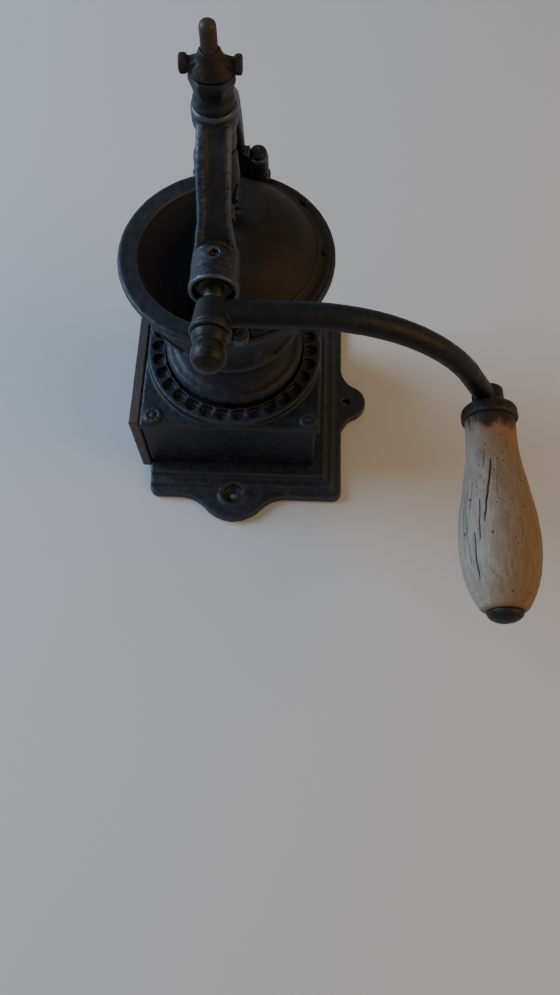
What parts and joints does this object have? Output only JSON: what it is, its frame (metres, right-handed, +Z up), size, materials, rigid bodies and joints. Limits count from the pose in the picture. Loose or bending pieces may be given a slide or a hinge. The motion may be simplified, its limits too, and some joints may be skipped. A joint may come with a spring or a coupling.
{
  "type": "coffee mill",
  "caption": "Cast-iron hand coffee mill: open hopper with half hood, bridge with bevel-geared burrs, crank with wooden grip, side drawer and a lugged foot.",
  "frame": {"origin": "on the mill's upright axis, at the underside of the foot plate", "axes": "+Z up along the spindle; -Y towards the crank's side; -X towards the drawer's side"},
  "size_m": [0.2031, 0.2487, 0.254],
  "materials": {
    "black_iron": "worn black paint over cast iron",
    "bridge_iron": "rubbed black casting",
    "hood_iron": "browned black iron",
    "crank_iron": "hand-polished black iron",
    "ferrule_iron": "dark, slightly rusty",
    "cap_iron": "smooth dark iron",
    "dark_steel": "darkened steel",
    "rusty_steel": "browned, slightly rusty steel",
    "steel": "dull bright steel",
    "burr_iron": "bare hardened iron",
    "brass": "aged brass",
    "sheet_steel": "dull sheet metal",
    "grip_wood": "bare, cracked, greyed hardwood"
  },
  "bodies": {
    "mill": {"foot_plate": "black_iron", "box_casting": "black_iron", "box_screws": "steel", "hopper_screws": "steel", "bar_screws": "steel", "lower_bearing_bar": "dark_steel", "hopper_bowl": "black_iron", "outer_burr": "burr_iron", "bridge": "bridge_iron", "bridge_screws": "dark_steel", "hood": "hood_iron", "hood_rivets": "dark_steel", "crank_bush": "brass", "spindle_bush": "brass", "thrust_collar": "dark_steel"},
    "crank": {"crank_shaft": "steel", "pinion": "burr_iron", "pinion_pin": "steel", "crank_arm": "crank_iron", "crank_washer": "dark_steel", "acorn_nut": "dark_steel", "handle_pin": "dark_steel", "handle_cap": "cap_iron"},
    "grip": {"wood_grip": "grip_wood", "ferrule": "ferrule_iron"},
    "spindle": {"spindle": "rusty_steel", "crown_gear": "burr_iron", "crown_gear_pin": "steel", "inner_burr": "burr_iron", "burr_nut": "steel"},
    "wing_nut": {"wing_nut": "dark_steel"},
    "drawer": {"drawer_tray": "sheet_steel", "drawer_front": "black_iron", "drawer_knob": "brass", "drawer_rivets": "steel"}
  },
  "joints": [
    {"name": "crank_turn", "type": "hinge", "parent": "mill", "child": "crank", "pos_m": [0, 0, 0.177], "axis": [0, 1, 0], "continuous": true},
    {"name": "grip_spin", "type": "hinge", "parent": "crank", "child": "grip", "pos_m": [0.1236, -0.11, 0.118], "axis": [0, 1, 0], "continuous": true},
    {"name": "spindle_turn", "type": "hinge", "parent": "mill", "child": "spindle", "pos_m": [0, 0, 0.15], "axis": [0, 0, 1], "continuous": true},
    {"name": "wing_nut_turn", "type": "hinge", "parent": "spindle", "child": "wing_nut", "pos_m": [0, 0, 0.238], "axis": [0, 0, 1], "range_deg": [-360, 360]},
    {"name": "drawer_slide", "type": "slide", "parent": "mill", "child": "drawer", "axis": [-1, 0, 0], "range_m": [0, 0.08]}
  ],
  "couplings": [
    {"joint": "spindle_turn", "follows": "crank_turn", "ratio": 1}
  ]
}
